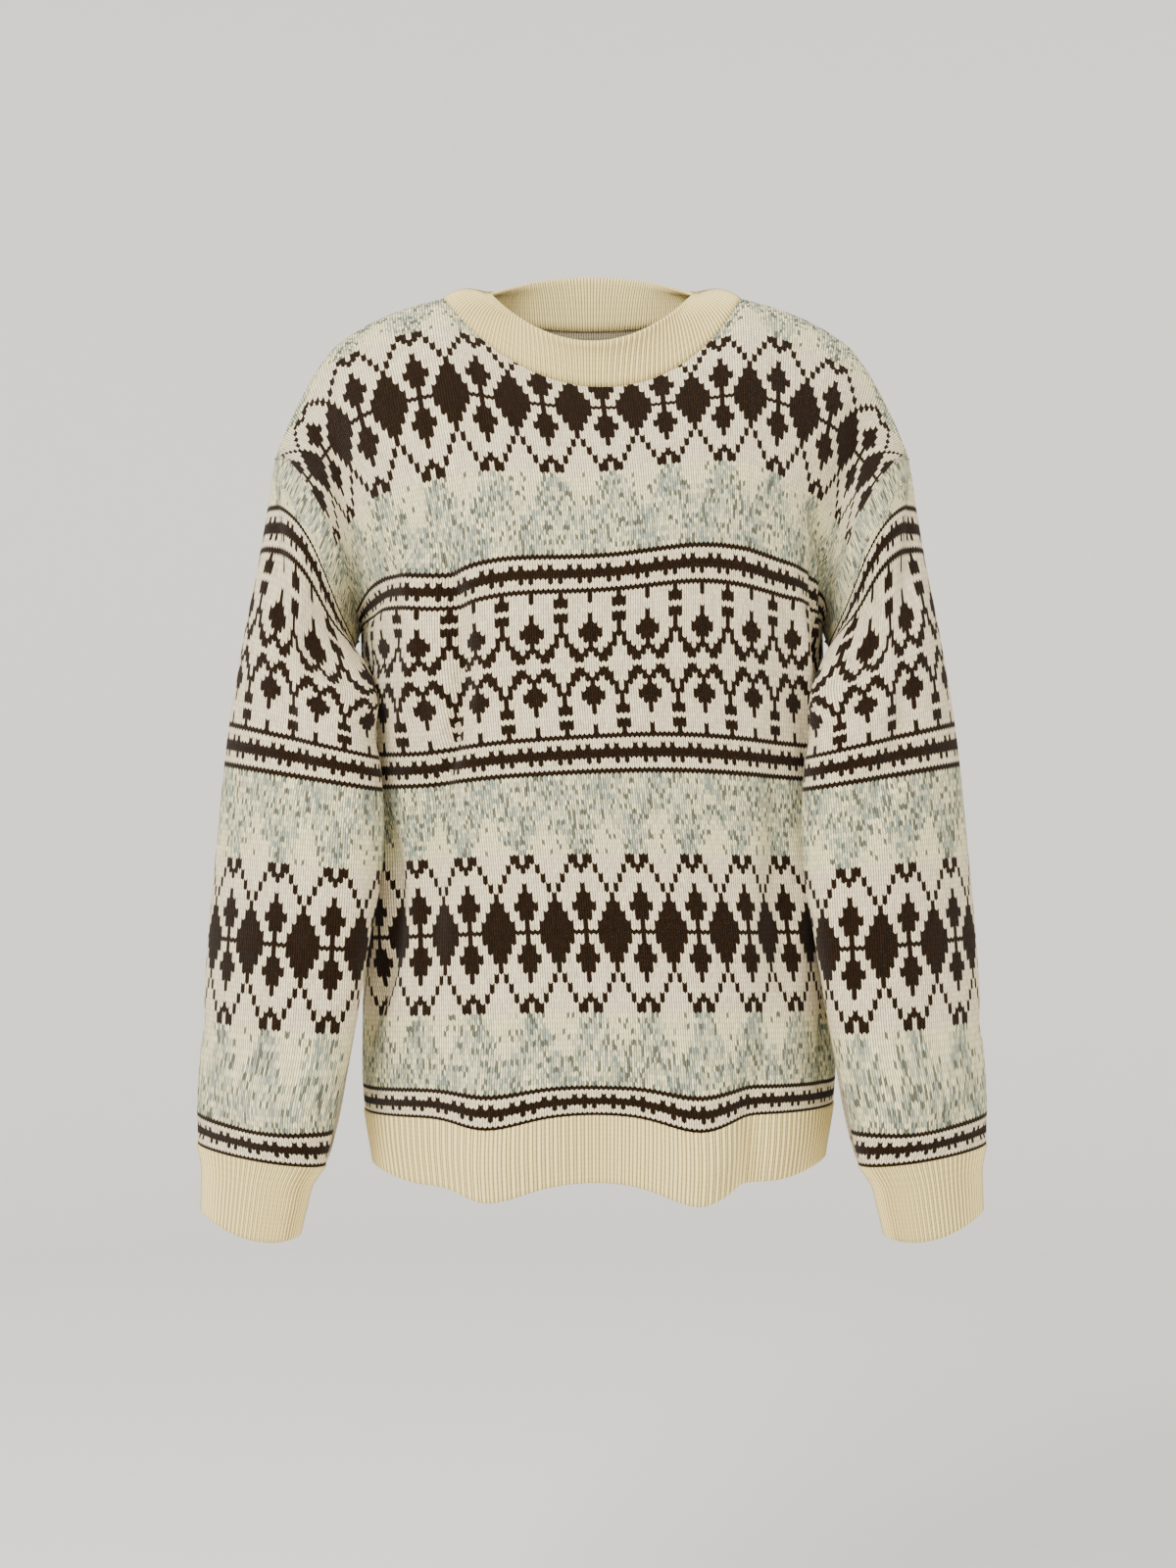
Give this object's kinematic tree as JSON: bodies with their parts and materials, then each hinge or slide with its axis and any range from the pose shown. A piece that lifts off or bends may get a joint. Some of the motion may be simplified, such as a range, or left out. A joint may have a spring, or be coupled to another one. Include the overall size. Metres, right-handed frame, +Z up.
{
  "type": "fair isle sweater",
  "caption": "Crew-neck fair isle pullover in cream, brown and pale blue-grey bands, in its worn form, with ribbed neckband, hem and cuffs.",
  "frame": {"origin": "middle of the neck opening, at the height of the shoulder seams beside the neck", "axes": "+Z up, -Y is the front, +X is the wearer's left"},
  "size_m": [0.5506, 0.2649, 0.6774],
  "materials": {
    "patterned_knit": "stranded two-colour wool knit, matt and slightly hairy",
    "cream_rib": "cream 1x1 rib knit, matt"
  },
  "bodies": {
    "root": {"front_panel": "patterned_knit", "back_panel": "patterned_knit", "sleeve_left": "patterned_knit", "sleeve_right": "patterned_knit", "neckband": "cream_rib", "hem_rib_front": "cream_rib", "hem_rib_back": "cream_rib", "cuff_left": "cream_rib", "cuff_right": "cream_rib"}
  },
  "joints": []
}
